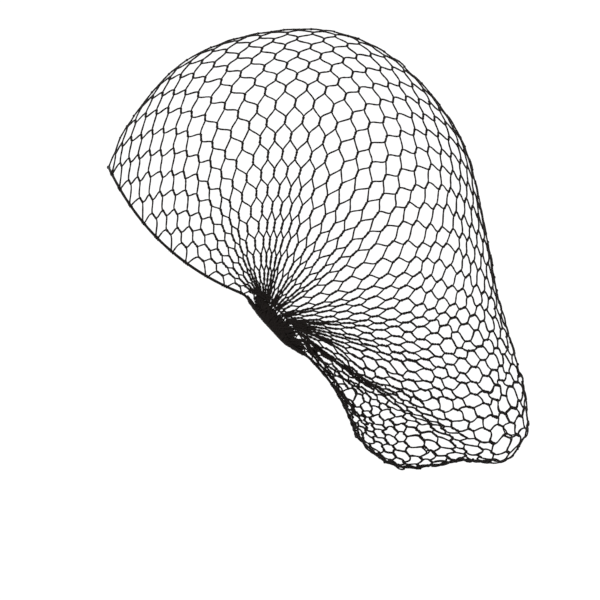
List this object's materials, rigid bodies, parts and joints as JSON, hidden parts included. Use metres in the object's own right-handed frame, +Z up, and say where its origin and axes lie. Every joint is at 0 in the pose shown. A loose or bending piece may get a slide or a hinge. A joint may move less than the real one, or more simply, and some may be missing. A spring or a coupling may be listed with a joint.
{
  "type": "hairnet",
  "caption": "Bag-shaped hairnet of hexagonal nylon netting, gathered at both ears and edged all round by one thin elastic, in its worn form",
  "frame": {"origin": "middle of the line from ear to ear, at the places where the columns of netting fan out", "axes": "+Z up, front of the head towards -Y, wearer's left towards +X"},
  "size_m": [0.163, 0.2319, 0.2426],
  "materials": {
    "net_thread": "twisted nylon thread, brown-black with a faint sheen",
    "elastic_cord": "thread-covered elastic cord, matt brown-black"
  },
  "bodies": {
    "root": {"net": "net_thread", "elastic": "elastic_cord", "ear_gather_left": "net_thread", "ear_gather_right": "net_thread"}
  },
  "joints": []
}
